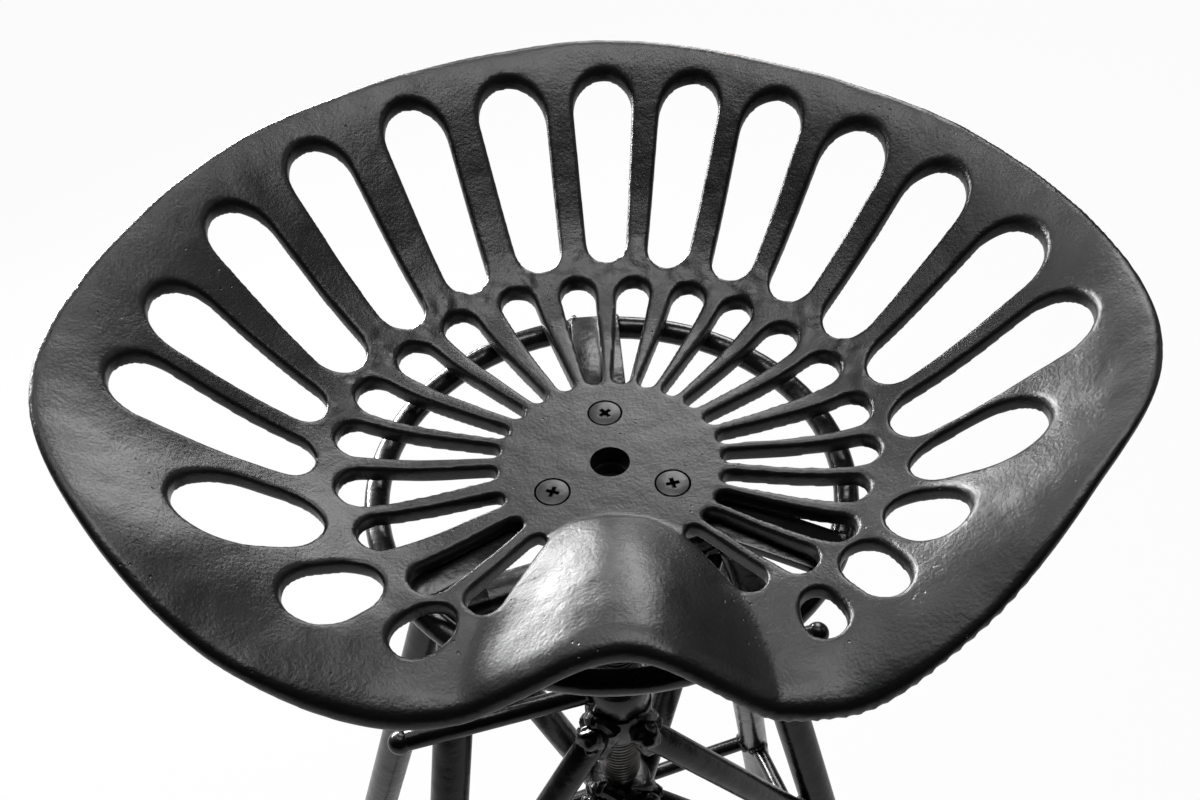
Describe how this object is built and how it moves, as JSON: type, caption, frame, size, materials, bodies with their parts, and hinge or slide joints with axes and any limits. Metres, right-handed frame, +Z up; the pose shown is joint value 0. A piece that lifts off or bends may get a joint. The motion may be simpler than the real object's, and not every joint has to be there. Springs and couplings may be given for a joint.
{
  "type": "tractor seat stool",
  "caption": "Stool with a pierced cast iron tractor seat on a screw spindle, carried by a welded tube base with two pairs of splayed legs and a lock nut with ball-ended handles.",
  "frame": {"origin": "on the floor, midway between the four feet", "axes": "+Z up, +X to the sitter's left, as the camera sees right, -Y towards the front edge of the seat"},
  "size_m": [0.4604, 0.3962, 0.7697],
  "materials": {
    "cast_seat": "satin black paint over a cast grain",
    "painted_screws": "satin black paint on steel",
    "tube_paint": "gloss black paint on steel",
    "bare_steel": "dull bare steel",
    "feet": "matt black"
  },
  "bodies": {
    "base": {"leg_back_left": "tube_paint", "leg_back_right": "tube_paint", "leg_front_left": "tube_paint", "leg_front_right": "tube_paint", "foot_back_left": "feet", "foot_back_right": "feet", "foot_front_left": "feet", "foot_front_right": "feet", "top_tube": "tube_paint", "spindle_nut": "tube_paint", "guide_bush": "tube_paint", "brace_left": "tube_paint", "brace_right": "tube_paint", "upper_arm_left": "tube_paint", "upper_arm_right": "tube_paint", "lower_arm_left": "tube_paint", "lower_arm_right": "tube_paint", "stretcher_back": "tube_paint", "stretcher_front": "tube_paint", "stretcher_left": "tube_paint", "stretcher_right": "tube_paint"},
    "spindle": {"spindle": "bare_steel", "stop_washer": "bare_steel", "stop_bolt": "bare_steel"},
    "seat": {"seat_casting": "cast_seat", "seat_screw_back": "painted_screws", "seat_screw_left": "painted_screws", "seat_screw_right": "painted_screws", "seat_nut_back": "bare_steel", "seat_nut_left": "bare_steel", "seat_nut_right": "bare_steel", "spider_plate": "tube_paint", "spider_strap_back": "tube_paint", "spider_strap_left": "tube_paint", "spider_strap_right": "tube_paint", "spider_hoop": "tube_paint"},
    "lock_handle": {"lock_nut": "tube_paint", "lock_handle_left": "tube_paint", "lock_handle_right": "tube_paint"}
  },
  "joints": [
    {"name": "height_slide", "type": "slide", "parent": "base", "child": "spindle", "axis": [0, 0, 1], "range_m": [-0.007, 0.045]},
    {"name": "seat_turn", "type": "hinge", "parent": "spindle", "child": "seat", "pos_m": [0.011, -0.0465, 0.688], "axis": [0, 0, 1], "range_deg": [-1008, 6480]},
    {"name": "lock_turn", "type": "hinge", "parent": "base", "child": "lock_handle", "pos_m": [0.011, -0.0465, 0.545], "axis": [0, 0, 1], "range_deg": [-4, 10]}
  ],
  "couplings": [
    {"joint": "height_slide", "follows": "seat_turn", "m_per_rad": 0.00039789}
  ]
}
